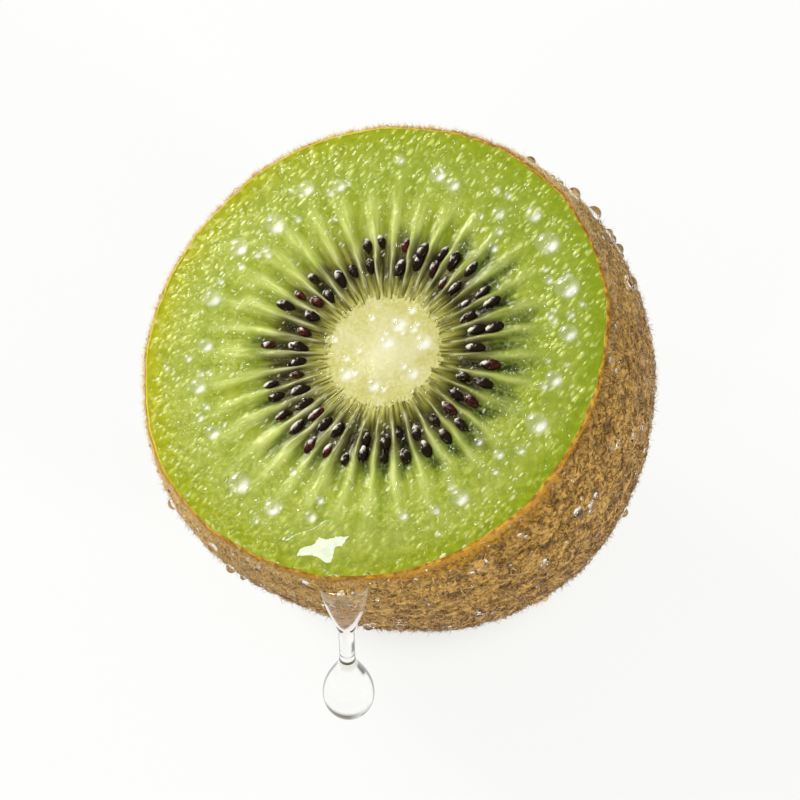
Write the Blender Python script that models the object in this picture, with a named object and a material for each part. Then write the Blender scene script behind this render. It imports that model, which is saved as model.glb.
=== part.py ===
"""A kiwifruit cut across, more than half of it, lying on its rounded back with the cut face up.

The flesh with its skin and seeds is one solid, the pale core is another, and a drip of juice
hangs from the rim. The fruit's axis leans a little, as the half comes to rest by itself.
"""

import math
import random

import bmesh
import bpy
from mathutils import Matrix, Vector

# Driving dimensions, in metres and radians
FACE_RADIUS = 0.025
HALF_LENGTH = 0.0299  # of the whole fruit, from its widest section to its stem end
CUT_HEIGHT = 0.0092  # of the cut face above the widest section
LEAN = math.radians(17.55)  # of the fruit's axis, towards -X
FLAT_DEPTH = 0.0005  # how far the flat spot is pressed into the round back
CLEARANCE = 0.0003  # between pieces that touch
FRUIT_RADIUS = FACE_RADIUS / math.sqrt(1 - (CUT_HEIGHT / HALF_LENGTH) ** 2)

# Unevenness of the outline: waves around the fruit, share of the radius, phase
BODY_WAVES = ((2, 0.019, math.radians(12)), (3, 0.02, math.radians(-168)))
RIM_WAVES = ((4, 0.004, math.radians(80)), (7, 0.002, math.radians(30)))
BODY_WAVES_FULL = 0.012  # depth under the cut at which the body's waves are whole

# The core: an elliptic spindle through the fruit, a little off its middle
CORE_CENTRE = Vector((0.0015, -0.0006, 0.0))
CORE_RADIUS = 0.0069  # at the widest section
CORE_HALF_LENGTH = 0.0215
CORE_STRETCH = Vector((1.055, 0.945, 1.0))
CORE_SECTORS = 42

# The cut face
RAYS = 35
SECTORS = 3 * RAYS
RAY_HEIGHT = 0.0002
RAY_INNER, RAY_OUTER = 0.008, 0.018
FACE_SWELL = 0.00025  # the flesh stands up a little between core and rim
RIM_ROUND = 0.00025
FACE_STEPS = (0.10, 0.20, 0.31, 0.43, 0.56, 0.70, 0.85)  # rings from the core to the rim

# The round back
BACK_RINGS = 16
SCAR_RADIUS, SCAR_DEPTH = 0.0017, 0.0005

# Seeds: rows from the core outwards, share of the way to the rim, share of cells filled
SEED_ROWS = ((0.385, 0.92), (0.478, 0.84))
RING_SHIFT, RING_SHIFT_ANGLE = 0.014, math.radians(-25)  # the ring of seeds is off centre
SEED_LENGTH, SEED_WIDTH, SEED_THICKNESS = 0.0022, 0.0012, 0.0011
SEED_DRAW = 11

# The drip: how far it hangs, and its half widths where it leaves the rim, at its neck and drop
DRIP_ANGLE = math.radians(-96.5)
NECK_OUT = 0.0019  # of the neck's axis from the rim, along -Y
FUNNEL_HALF_WIDTH, FUNNEL_THICKNESS, FUNNEL_HEIGHT = 0.00265, 0.0013, 0.0106
NECK_RADIUS, NECK_HEIGHT = 0.0008, 0.0078
TAPER_HEIGHT = 0.0125
DROP_RADIUS, DROP_BELOW = 0.0028, 0.0046
LIP_HEIGHT, LIP_REACH = 0.0006, 0.0012  # over the face and in from the rim
DRIP_SECTORS = 20


def clear_scene():
    for old in list(bpy.data.objects):
        bpy.data.objects.remove(old, do_unlink=True)


def ease(value):
    value = min(max(value, 0.0), 1.0)
    return value * value * (3 - 2 * value)


def material(name, color, roughness, transmission=0.0):
    finish = bpy.data.materials.new(name)
    finish.use_nodes = True
    shader = finish.node_tree.nodes["Principled BSDF"]
    shader.inputs["Base Color"].default_value = (*color, 1.0)
    shader.inputs["Roughness"].default_value = roughness
    shader.inputs["Metallic"].default_value = 0.0
    shader.inputs["Transmission Weight"].default_value = transmission
    shader.inputs["IOR"].default_value = 1.34
    return finish


def make_object(name, bm, finish, parent=None):
    bmesh.ops.recalc_face_normals(bm, faces=bm.faces)
    mesh = bpy.data.meshes.new(name)
    bm.to_mesh(mesh)
    bm.free()
    if finish:
        mesh.materials.append(finish)
    mesh.shade_smooth()
    mesh.set_sharp_from_angle(angle=math.radians(50))
    item = bpy.data.objects.new(name, mesh)
    bpy.context.scene.collection.objects.link(item)
    item.parent = parent
    return item


# Places in the fruit's own axes, +Z along its axis out of the cut face


def round_radius(height):
    return FRUIT_RADIUS * math.sqrt(max(0.0, 1 - (height / HALF_LENGTH) ** 2))


def outline_share(angle, height):
    """How much wider than round the fruit is in a direction, as a factor near 1."""
    grown = ease((CUT_HEIGHT - height) / BODY_WAVES_FULL)
    share = 1.0
    for count, depth, phase in BODY_WAVES:
        share += depth * grown * math.cos(count * angle - phase)
    for count, depth, phase in RIM_WAVES:
        share += depth * math.cos(count * angle - phase)
    return share


def rim_point(angle):
    reach = FACE_RADIUS * outline_share(angle, CUT_HEIGHT)
    return Vector((reach * math.cos(angle), reach * math.sin(angle), CUT_HEIGHT))


def face_point(angle, share):
    """A place on the face, share 0 at the core's middle and 1 at the rim."""
    middle = CORE_CENTRE + Vector((0.0, 0.0, CUT_HEIGHT))
    return middle.lerp(rim_point(angle), share)


def core_radius(height, spare=0.0):
    length = CORE_HALF_LENGTH + spare
    return (CORE_RADIUS + spare) * math.sqrt(max(0.0, 1 - (height / length) ** 2))


def core_point(angle, radius, height):
    around = Vector((math.cos(angle), math.sin(angle), 0.0)) * radius
    return CORE_CENTRE + around * CORE_STRETCH + Vector((0.0, 0.0, height))


def face_relief(angle, point):
    """Height of the cut flesh over its plane: a low swell, with raised rays in the seed ring."""
    from_core = (point - CORE_CENTRE).to_2d().length
    from_rim = FACE_RADIUS - point.to_2d().length
    swell = FACE_SWELL * ease(from_rim / 0.006) * ease((from_core - core_radius(CUT_HEIGHT)) / 0.006)
    inside = ease((from_core - RAY_INNER) / 0.0015) * ease((RAY_OUTER - from_core) / 0.005)
    return swell + RAY_HEIGHT * inside * math.cos(RAYS * angle)


def spin_profile(profile, sectors):
    """Turns (radius, height) points that start and end on the axis into a closed shape."""
    bm = bmesh.new()
    corners = [bm.verts.new((radius, 0.0, height)) for radius, height in profile]
    edges = [bm.edges.new(pair) for pair in zip(corners, corners[1:])]
    bmesh.ops.spin(
        bm,
        geom=corners + edges,
        cent=(0, 0, 0),
        axis=(0, 0, 1),
        angle=math.tau,
        steps=sectors,
        use_merge=True,
    )
    bmesh.ops.remove_doubles(bm, verts=bm.verts, dist=1e-6)
    return bm


# The flesh


def pocket_profile():
    spindle = CORE_HALF_LENGTH + CLEARANCE
    mouth = math.asin(CUT_HEIGHT / spindle)
    steps = 6
    angles = [-math.pi / 2 + (mouth + math.pi / 2) * i / steps for i in range(steps)]
    heights = [spindle * math.sin(a) for a in angles]
    return [(core_radius(h, CLEARANCE), h) for h in heights]


def face_profile():
    mouth = core_radius(CUT_HEIGHT, CLEARANCE)
    width = FACE_RADIUS - RIM_ROUND - mouth
    rings = [(mouth + width * step, CUT_HEIGHT) for step in (0.0, *FACE_STEPS, 1.0)]
    return rings


def back_profile():
    start = math.asin((CUT_HEIGHT - RIM_ROUND) / HALF_LENGTH)
    span = start + math.pi / 2
    heights = [HALF_LENGTH * math.sin(start - span * i / BACK_RINGS) for i in range(BACK_RINGS)]
    rings = [(round_radius(h), h) for h in heights]
    scar = HALF_LENGTH * math.sqrt(1 - (SCAR_RADIUS / FRUIT_RADIUS / 2) ** 2)
    return rings + [(SCAR_RADIUS / 2, -scar), (0.0, -HALF_LENGTH)]


def settle_flesh(point):
    """Moves a point of the turned shape to its place on the uneven fruit."""
    angle = math.atan2(point.y, point.x)
    radius = point.to_2d().length
    mouth = core_radius(CUT_HEIGHT, CLEARANCE)
    if point.z > CUT_HEIGHT - 1e-6:
        share = (radius - mouth) / (FACE_RADIUS - mouth)
        placed = core_point(angle, mouth, CUT_HEIGHT).lerp(rim_point(angle), share)
        placed.z += face_relief(angle, placed)
        return placed
    if radius < 0.8 * round_radius(point.z):
        return core_point(angle, radius, point.z)
    share = outline_share(angle, point.z)
    dent = SCAR_DEPTH * math.exp(-((radius / SCAR_RADIUS) ** 2)) if point.z < 0 else 0.0
    return Vector((point.x * share, point.y * share, point.z + dent))


def press_flat(bm, floor):
    """Cuts the round back off at the floor and closes it with one flat face."""
    co, normal = floor
    geometry = bm.verts[:] + bm.edges[:] + bm.faces[:]
    cut = bmesh.ops.bisect_plane(
        bm, geom=geometry, dist=1e-7, plane_co=co, plane_no=normal, clear_outer=True
    )
    edges = [e for e in cut["geom_cut"] if isinstance(e, bmesh.types.BMEdge)]
    bmesh.ops.contextual_create(bm, geom=edges)


def build_flesh(axis, floor):
    bm = spin_profile(pocket_profile() + face_profile() + back_profile(), SECTORS)
    for vert in bm.verts:
        vert.co = settle_flesh(vert.co)
    press_flat(bm, floor)
    finish = material("green_flesh", (0.30, 0.46, 0.05), 0.35)
    return make_object("kiwi_flesh", bm, finish, axis)


# The seeds


def seed_places():
    """Angle, share of the way to the rim, size and turn of each seed, drawn from one fixed seed."""
    draw = random.Random(SEED_DRAW)
    for cell in range(RAYS):
        middle = math.tau * (cell + 0.5) / RAYS
        for share, filled in SEED_ROWS:
            present = draw.random() < filled
            angle = middle + draw.uniform(-0.032, 0.032)
            place = share + RING_SHIFT * math.cos(angle - RING_SHIFT_ANGLE)
            place += draw.uniform(-0.02, 0.02)
            size = draw.uniform(0.86, 1.12)
            turn = draw.uniform(-0.22, 0.22)
            if present:
                yield angle, place, size, turn


def build_seed(axis, index, place):
    angle, share, size, turn = place
    here = face_point(angle, share)
    outwards = face_point(angle, share + 0.1) - here
    heading = math.atan2(outwards.y, outwards.x) + turn
    here.z += face_relief(angle, here) + 0.1 * SEED_THICKNESS
    bm = bmesh.new()
    bmesh.ops.create_uvsphere(bm, u_segments=6, v_segments=4, radius=0.5)
    stand = Matrix.Rotation(math.pi / 2, 4, "Y")
    size = Vector((SEED_LENGTH, SEED_WIDTH, SEED_THICKNESS)) * size
    stretch = Matrix.Diagonal((*size, 1.0))
    bmesh.ops.transform(
        bm,
        matrix=Matrix.Translation(here) @ Matrix.Rotation(heading, 4, "Z") @ stretch @ stand,
        verts=bm.verts,
    )
    for vert in bm.verts:
        behind = (here - vert.co).dot(outwards.normalized()) / SEED_LENGTH
        pinch = 1 - 0.55 * max(0.0, behind)
        middle = here + outwards.normalized() * (-behind * SEED_LENGTH)
        vert.co = middle + (vert.co - middle) * pinch
    return make_object(f"seed_{index:02d}", bm, None, axis)


def fuse_seeds(flesh, axis):
    """Joins every seed to the flesh in one union, and then removes the loose seeds."""
    seeds = bpy.data.collections.new("seeds")
    bpy.context.scene.collection.children.link(seeds)
    for index, place in enumerate(seed_places()):
        seed = build_seed(axis, index, place)
        bpy.context.scene.collection.objects.unlink(seed)
        seeds.objects.link(seed)
    union = flesh.modifiers.new("seeds", "BOOLEAN")
    union.operation = "UNION"
    union.operand_type = "COLLECTION"
    union.collection = seeds
    union.solver = "EXACT"
    bpy.context.view_layer.update()
    fused = flesh.evaluated_get(bpy.context.evaluated_depsgraph_get())
    mesh = bpy.data.meshes.new_from_object(fused)
    flesh.modifiers.remove(union)
    flesh.data = mesh
    mesh.name = "kiwi_flesh"
    for seed in list(seeds.objects):
        bpy.data.objects.remove(seed, do_unlink=True)
    bpy.data.collections.remove(seeds)


# The core


def core_profile():
    mouth = math.asin(CUT_HEIGHT / CORE_HALF_LENGTH)
    steps = 9
    span = mouth + math.pi / 2
    heights = [CORE_HALF_LENGTH * math.sin(-math.pi / 2 + span * i / steps) for i in range(steps)]
    side = [(core_radius(h), h) for h in heights]
    edge = core_radius(CUT_HEIGHT)
    return side + [(edge * share, CUT_HEIGHT) for share in (1.0, 0.7, 0.35, 0.0)]


def build_core(axis):
    bm = spin_profile(core_profile(), CORE_SECTORS)
    for vert in bm.verts:
        angle = math.atan2(vert.co.y, vert.co.x)
        radius = vert.co.to_2d().length
        crown = FACE_SWELL * ease(1 - radius / core_radius(CUT_HEIGHT))
        on_face = vert.co.z > CUT_HEIGHT - 1e-6
        vert.co = core_point(angle, radius, vert.co.z + (crown if on_face else 0.0))
    finish = material("pale_core", (0.72, 0.74, 0.36), 0.4)
    return make_object("kiwi_core", bm, finish, axis)


# The drip


def keep_off_fruit(point, axis_matrix):
    """Moves a world point that would be in the fruit out to just over its skin."""
    local = axis_matrix.inverted() @ point
    angle = math.atan2(local.y, local.x)
    skin = round_radius(local.z) * outline_share(angle, local.z) + 1.3 * CLEARANCE
    radius = local.to_2d().length
    if radius < skin and local.z < CUT_HEIGHT + CLEARANCE:
        local.x *= skin / radius
        local.y *= skin / radius
    return axis_matrix @ local


def drip_rings():
    """Depth under the rim, half width, half thickness and distance out of each ring, top to bottom."""
    wide, thick = FUNNEL_HALF_WIDTH, FUNNEL_THICKNESS
    yield -LIP_HEIGHT, 0.72 * wide, 0.55 * LIP_REACH, -0.45 * LIP_REACH
    yield -0.7 * LIP_HEIGHT, 0.95 * wide, LIP_REACH, -0.1 * LIP_REACH
    start_out = 0.4 * thick
    for step in range(9):
        share = step / 9
        narrowed = math.cos(math.pi / 2 * share) ** 1.3
        width = NECK_RADIUS + (wide - NECK_RADIUS) * narrowed
        depth = NECK_RADIUS + (thick - NECK_RADIUS) * (1 - ease(share))
        yield FUNNEL_HEIGHT * share, width, depth, start_out + (NECK_OUT - start_out) * ease(share)
    for step in range(4):
        yield FUNNEL_HEIGHT + NECK_HEIGHT * step / 4, NECK_RADIUS, NECK_RADIUS, NECK_OUT
    top = FUNNEL_HEIGHT + NECK_HEIGHT
    for step in range(7):
        share = step / 7
        swollen = 0.25 * ease(share) + 0.75 * share * (2 - share)
        radius = NECK_RADIUS + (DROP_RADIUS - NECK_RADIUS) * swollen
        yield top + TAPER_HEIGHT * share, radius, radius, NECK_OUT
    for step in range(8):
        turn = math.pi / 2 * step / 8
        radius = DROP_RADIUS * math.cos(turn)
        yield top + TAPER_HEIGHT + DROP_BELOW * math.sin(turn), radius, radius, NECK_OUT


def build_drip(axis):
    rim = axis.matrix_world @ rim_point(DRIP_ANGLE)
    rings = {round(ring[0], 6): ring for ring in drip_rings()}
    bottom = FUNNEL_HEIGHT + NECK_HEIGHT + TAPER_HEIGHT + DROP_BELOW
    profile = [(0.0, LIP_HEIGHT)] + [(1.0, -depth) for depth in rings] + [(0.0, -bottom)]
    bm = spin_profile(profile, DRIP_SECTORS)
    for vert in bm.verts:
        depth = -vert.co.z
        _, width, thick, out = rings.get(round(depth, 6), (depth, 0.0, 0.0, NECK_OUT))
        if vert.co.to_2d().length < 0.5:
            width = thick = 0.0
        slope = math.tan(LEAN) * min(1.0, max(0.0, 1 - depth / FUNNEL_HEIGHT))
        across = vert.co.x * width
        offset = Vector((across, vert.co.y * thick - out, slope * across - depth))
        vert.co = keep_off_fruit(rim + offset, axis.matrix_world) - rim
    finish = material("clear_juice", (0.95, 0.95, 0.90), 0.03, transmission=1.0)
    drip = make_object("juice_drip", bm, finish)
    drip.location = rim
    return drip


def build_axis():
    """The fruit's leaning axis, high enough that the flat spot lies on the floor at the origin."""
    up = Vector((math.sin(LEAN), 0.0, math.cos(LEAN)))
    reach = math.sqrt((FRUIT_RADIUS * up.x) ** 2 + (HALF_LENGTH * up.z) ** 2)
    sideways = (HALF_LENGTH**2 - FRUIT_RADIUS**2) * up.x * up.z / reach
    axis = bpy.data.objects.new("fruit_axis", None)
    bpy.context.scene.collection.objects.link(axis)
    axis.location = (-sideways, 0.0, reach - FLAT_DEPTH)
    axis.rotation_euler = (0.0, -LEAN, 0.0)
    bpy.context.view_layer.update()
    return axis


def build():
    clear_scene()
    axis = build_axis()
    to_fruit = axis.matrix_world.inverted()
    floor = (to_fruit @ Vector((0.0, 0.0, 0.0)), to_fruit.to_3x3() @ Vector((0.0, 0.0, -1.0)))
    flesh = build_flesh(axis, floor)
    fuse_seeds(flesh, axis)
    build_core(axis)
    build_drip(axis)


build()
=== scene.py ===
"""The looks of a cut kiwifruit half: wet green flesh with its seeds, a pale core, fuzzy brown skin,
beads of water and a drip of juice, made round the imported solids.

Sizes are in millimetres, in the fruit's own axes: they start at the middle of its widest section,
and +Z points out of the cut face. Each finished piece is moved to its place in metres at the end.
"""

import math
import random

import bmesh
import bpy
import numpy as np
from mathutils import Matrix, Vector, noise


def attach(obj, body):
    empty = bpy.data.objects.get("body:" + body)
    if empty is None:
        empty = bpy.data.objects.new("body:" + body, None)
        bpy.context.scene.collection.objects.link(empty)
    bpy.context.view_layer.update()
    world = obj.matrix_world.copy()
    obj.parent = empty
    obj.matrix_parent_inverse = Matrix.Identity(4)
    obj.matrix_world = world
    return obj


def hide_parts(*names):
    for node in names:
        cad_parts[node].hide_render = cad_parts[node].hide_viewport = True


# Driving dimensions, as the solids have them; waves: how many round the fruit, depth, turn
FACE_RADIUS = 25.0
HALF_LENGTH = 29.9
CUT_HEIGHT = 9.2
LEAN = math.radians(17.55)
FLAT_DEPTH = 0.5
CLEARANCE = 0.3
FRUIT_RADIUS = FACE_RADIUS / math.sqrt(1 - (CUT_HEIGHT / HALF_LENGTH) ** 2)
BODY_WAVES = ((2, 0.019, math.radians(12)), (3, 0.02, math.radians(-168)))
RIM_WAVES = ((4, 0.004, math.radians(80)), (7, 0.002, math.radians(30)))
RIM_RIPPLES = ((13, 0.0016, 1.3), (21, 0.0013, 0.4), (34, 0.0009, 2.1), (55, 0.0006, 4.0))
BODY_WAVES_FULL = 12.0
CORE_CENTRE = np.array((1.5, -0.6))
CORE_RADIUS = 6.9
CORE_HALF_LENGTH = 21.5
CORE_STRETCH = np.array((1.055, 0.945))
RAYS = 35
FACE_SWELL = 0.25
SCAR_RADIUS, SCAR_DEPTH = 1.7, 0.5

# The direction out of the cut face, its finer relief and its mesh
UP = (0.0, 0.0, 1.0)
RAY_RISE, GEL_DEPTH = 0.2, 0.22
FACE_SECTORS = 16 * RAYS
FINE_STEP, COARSE_STEP = 0.125, 0.23
SEED_ZONE_END = 15.5

# Painted glints on the flesh: how they lie, and how long and wide the cells are that hold them
GLINT_SLANT, GLINT_REACH = math.radians(47), (1.75, 0.8, 1.0)

# The skin, and its band under the rim that has no fuzz, which is widest in one direction
SKIN_THICKNESS = 0.24
SKIN_SECTORS, SKIN_RINGS = 420, 96
BARE_WIDTH = 0.3
BARE_EXTRA, BARE_MIDDLE, BARE_SPREAD = 1.6, math.radians(-62), math.radians(52)

# Kinds of hair: how many, seed of the draw, stages along a hair, length, thickness, lift off the
# skin, arch, spread of their directions, and how far under the rim they reach, or 0 for all over
FUZZ_KINDS = {
    "fine_fuzz": (11000, 31, 3, 0.8, 0.036, 0.2, 0.2, 1.4, 0.0),
    "matted_fuzz": (11000, 32, 3, 1.0, 0.06, 0.06, 0.16, 0.9, 0.0),
    "standing_fuzz": (17000, 33, 2, 0.72, 0.024, 0.75, 0.05, 3.0, 0.0),
    "rim_fuzz": (9000, 34, 2, 0.5, 0.022, 1.0, 0.03, 3.0, 0.9),
}
FUZZ_CLEARANCE = 0.0009  # metres over the floor where hairs start

# Directions on the skin where its hairs are painted paler or darker: painted light and painted shade
UPPER_LEFT, LOWER_LEFT, LOWER_RIGHT = (-0.35, 0.93, 0.0), (-0.64, -0.77, 0.0), (0.55, -0.83, 0.0)

# Seeds, as the solids have them
SEED_ROWS = ((0.385, 0.92), (0.478, 0.84))
RING_SHIFT, RING_SHIFT_ANGLE = 0.014, math.radians(-25)
SEED_LENGTH, SEED_WIDTH, SEED_THICKNESS = 2.1, 1.14, 1.05
SEED_DRAW = 11

# The drip, close to the solid's
DRIP_ANGLE = math.radians(-96.5)
NECK_OUT = 1.9
FUNNEL_HALF_WIDTH, FUNNEL_THICKNESS, FUNNEL_HEIGHT = 2.65, 1.3, 10.6
NECK_RADIUS, NECK_HEIGHT = 0.84, 7.8
TAPER_HEIGHT = 12.5
DROP_RADIUS, DROP_BELOW = 2.8, 4.6
LIP_HEIGHT, LIP_REACH = 0.22, 0.5

# Large beads of water on the cut face: direction in degrees, distance from the middle, radius
FACE_BEADS = (
    (26, 21.0, 1.3), (11, 21.2, 1.35), (-3, 20.9, 1.0), (-17, 20.2, 0.95), (-31, 20.4, 1.25),
    (-62, 19.9, 1.0), (-80, 19.1, 0.65), (-110, 19.0, 0.7), (-123, 19.6, 0.95), (-137, 19.5, 1.25),
    (-157, 18.8, 0.85), (-174, 19.1, 0.95), (172, 18.4, 0.85), (156, 19.2, 1.05), (138, 19.8, 1.1),
    (125, 18.7, 1.2), (111, 20.4, 0.95), (101, 19.2, 0.8), (69, 19.9, 0.95), (63, 19.3, 0.85),
    (44, 19.0, 0.75), (36, 21.5, 0.95), (15, 19.6, 0.55), (-45, 19.0, 0.6), (82, 21.1, 0.6),
    (-1, 5.5, 1.05), (38, 3.6, 1.0), (-88, 4.2, 0.85), (-139, 3.8, 0.95), (41, 5.6, 0.6),
    (-38, 5.5, 0.75), (12, 1.6, 0.95), (160, 4.4, 0.5), (92, 3.4, 0.5),
)

# Beads of water on the skin: direction in degrees, distance under the rim, radius
SKIN_BEADS = (
    (50, 2.0, 0.6), (40, 5.4, 0.75), (35, 7.2, 0.8), (31, 9.2, 0.5), (27, 9.8, 0.6),
    (14, 6.2, 0.95), (-25, 6.0, 0.75), (-55, 9.4, 0.65), (-74, 13.8, 0.6), (-66, 3.2, 0.75),
    (-20, 10.0, 0.55), (-135, 3.8, 0.6), (-155, 8.0, 0.55),
)

# Beads that are drawn at random: how many more than the placed ones, or how many in all
MORE_FACE_BEADS, MORE_SKIN_BEADS = 64, 60
FINE_BEAD_COUNT, DEW_COUNT = 850, 420

# Seeds of the random draws: where beads sit, how they are shaped, and how seeds are pitched
FACE_BEAD_DRAW, FACE_SHAPE_DRAW, FINE_BEAD_DRAW = 7, 8, 17
SKIN_BEAD_DRAW, SKIN_SHAPE_DRAW, DEW_DRAW, SEED_PITCH_DRAW = 23, 24, 29, 5

# Steps round and up a ball of water, and round the drip
FACE_BALL, SKIN_BALL, SMALL_BALL, FILM_BALL = (24, 14), (20, 12), (8, 6), (96, 64)
DRIP_SECTORS = 64

# How far beads stand off the skin and the floor, in millimetres and in metres
SKIN_BEAD_LIFT, DEW_LIFT, BEAD_CLEARANCE = 0.2, 0.16, 0.0001

# The film of juice on the face: its middle, half sizes, thickness and how gently it curves
FILM_MIDDLE, FILM_REACH = np.array((-3.4, -21.3)), np.array((6.2, 3.4))
FILM_THICKNESS, FILM_CURVE = 0.34, np.array((76.0, 60.0))

# How much light sinks into the fruit, and the clear juice: its colour, how steeply it turns away
# where the painted line of shade on its edge starts and ends, the line's colour, and the colour of the
# film's glint
WHITE, CLEAR = (1.0, 1.0, 1.0), (1.0, 1.0, 0.99)
FLESH_GLOW, CORE_GLOW = 0.15, 0.35
PALE_LINE, DARK_LINE = (0.7, 0.95, (0.66, 0.66, 0.6)), (0.55, 0.85, (0.14, 0.11, 0.07))
FILM_GLINT = (0.68, 0.69, 0.88)

# The lamps: direction from the face's middle, distance and side in metres, power and colour
KEY_DIRECTION = (-0.68, 0.66, 0.32)
LAMPS = {
    "key lamp": (KEY_DIRECTION, 0.6, 0.22, 3.0, WHITE),
    "spark lamp": ((-0.603, 0.305, 0.737), 0.6, 0.056, 0.35, WHITE),
    "fill lamp": ((0.82, -0.52, 0.24), 0.7, 0.13, 2.7, WHITE),
    "low lamp": ((-0.62, -0.77, 0.12), 0.6, 0.08, 0.75, (1.0, 0.93, 0.86)),
}
FLOOR_SIDE, FLOOR_GLOW, FAR_GLOW = 3.0, 0.86, 0.36
SIDE_LIGHT, TOP_LIGHT = 0.22, 0.6

# The camera, in metres, and how far its view is moved from the fruit's middle
CAMERA_ELEVATION = math.radians(67.87)
CAMERA_DISTANCE = 0.450
CAMERA_LENS = 193.24
LOOK_RIGHT, LOOK_UP = 0.00005, -0.00204


# Numbers and surfaces


def ease(value):
    value = np.clip(value, 0.0, 1.0)
    return value * value * (3 - 2 * value)


def angle_and_reach(places):
    """Direction of each place round the upright axis, and its distance from that axis."""
    return np.arctan2(places[..., 1], places[..., 0]), np.hypot(places[..., 0], places[..., 1])


def unit(angle):
    return np.stack((np.cos(angle), np.sin(angle)), axis=-1)


def nearest_turn(angle):
    """The same angle, between minus and plus half a turn."""
    return np.arctan2(np.sin(angle), np.cos(angle))


def moved(points, matrix):
    """Points moved by a 4 by 4 matrix."""
    return (np.column_stack((points, np.ones(len(points)))) @ np.array(matrix).T)[:, :3]


def round_radius(height):
    return FRUIT_RADIUS * np.sqrt(np.clip(1 - (height / HALF_LENGTH) ** 2, 0, None))


def core_radius(height):
    return CORE_RADIUS * np.sqrt(np.clip(1 - (height / CORE_HALF_LENGTH) ** 2, 0, None))


def outline_share(angle, height):
    """How much wider than round the fruit is in a direction, as a factor near 1."""
    grown = ease((CUT_HEIGHT - height) / BODY_WAVES_FULL)
    share = 1.0
    for count, depth, phase in BODY_WAVES:
        share = share + depth * grown * np.cos(count * angle - phase)
    for count, depth, phase in RIM_WAVES + RIM_RIPPLES:
        share = share + depth * np.cos(count * angle - phase)
    return share


def rim_place(angle):
    reach = FACE_RADIUS * outline_share(angle, CUT_HEIGHT)
    return reach[..., None] * unit(angle)


def ring_place(flat):
    """Angle and share of the way from the core's middle to the rim, of (x, y) places on the face."""
    heading, distance = angle_and_reach(flat - CORE_CENTRE)
    angle = heading
    for _ in range(4):
        miss = heading - angle_and_reach(rim_place(angle) - CORE_CENTRE)[0]
        angle = angle + nearest_turn(miss)
    return angle, distance / angle_and_reach(rim_place(angle) - CORE_CENTRE)[1]


def face_place(angle, share):
    """(x, y) places on the face, each at a share of the way from the core's middle to the rim."""
    return CORE_CENTRE + (rim_place(angle) - CORE_CENTRE) * share[:, None]


def drift(points, size, seed=0.0):
    """Smooth noise from about -1 to 1, with lumps of the given size, at each point."""
    shifted = (points / size + seed).tolist()
    return np.array([noise.noise(point) for point in shifted])


def ray_pattern(flat):
    """Share of ray, share of dark gel and fibre streaks at (x, y) places on the face."""
    angle, share = ring_place(flat)
    from_core = np.hypot(*(flat - CORE_CENTRE).T)

    def streaks(fineness, length, seed):
        """Smooth noise that is fine round the fruit and long towards the rim."""
        return drift(np.column_stack((unit(angle) * fineness, from_core / length)), 1.0, seed)

    wander = streaks(3.0, 5.0, 3.7)
    fine_wander = streaks(14.0, 2.2, 9.1)
    cell = RAYS * angle / math.tau + 0.2 * wander * ease((from_core - 8) / 8) + 0.09 * fine_wander
    offset = cell - np.round(cell)
    across = np.abs(offset) * math.tau / RAYS * from_core
    thickness = streaks(9.0, 6.0, 21.3)
    half_width = (0.18 + 0.066 * np.clip(from_core - 8, 0, None)) * (1 + 0.6 * thickness)
    broken = streaks(16.0, 3.0, 31.7)
    ray = np.exp(-((across / half_width) ** 2)) * np.clip(0.9 + 0.5 * broken, 0.25, 1)
    fibres = streaks(34.0, 2.6, 5.2)
    patches = streaks(11.0, 2.0, 14.9)
    gel_end = 0.606 + 0.09 * np.cos(angle - math.radians(-35)) + 0.045 * np.cos(2 * angle)
    gel_end = gel_end + 0.12 * thickness
    gel = ease((share - 0.30) / 0.07) * ease((gel_end - share) / 0.1)
    gel = gel * (1 - 0.9 * ray) * np.clip(0.88 + 0.45 * patches, 0, 1)
    return angle, share, from_core, ray, gel, fibres


def face_relief(flat):
    """Height of the wet cut flesh over its plane, with the masks that its colours follow."""
    angle, share, from_core, ray, gel, fibres = ray_pattern(flat)
    from_rim = FACE_RADIUS - np.hypot(flat[:, 0], flat[:, 1])
    height = FACE_SWELL * ease(from_rim / 6) * ease((from_core - core_radius(CUT_HEIGHT)) / 6)
    ring = ease((from_core - 7.0) / 2.0) * ease((20.5 - from_core) / 6)
    height = height + ring * RAY_RISE * ray - GEL_DEPTH * gel
    height = height + 0.06 * fibres * ease((18 - from_core) / 5) * ease((from_core - 5) / 2)
    solid = np.column_stack((flat, np.zeros(len(flat))))
    granules = drift(solid, 1.1, 1.7) + 0.6 * drift(solid, 0.6, 4.4)
    height = height + 0.03 * granules * (0.3 + 0.7 * ease((from_core - 10) / 6))
    height = height + 0.08 * drift(solid, 3.4, 8.8)
    return height, angle, share, ray, gel


def bead_layout():
    """Places and radii of the beads that the cut face holds, the large ones first."""
    draw = np.random.default_rng(FACE_BEAD_DRAW)
    turn, reach, size = np.array(FACE_BEADS, float).T
    turn = np.radians(turn)
    flat = unit(turn) * reach[:, None]
    more = MORE_FACE_BEADS
    angle = draw.uniform(-math.pi, math.pi, more)
    share = draw.normal(0.79, 0.08, more)
    share = np.where(draw.random(more) < 0.22, draw.uniform(0.03, 0.25, more), share)
    extra = face_place(angle, np.clip(share, 0.02, 0.94))
    clear = film_share(extra) > 1.1
    flat = np.concatenate((flat, extra[clear]))
    size = np.concatenate((size, draw.uniform(0.28, 0.58, more)[clear]))
    return flat, size


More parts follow.
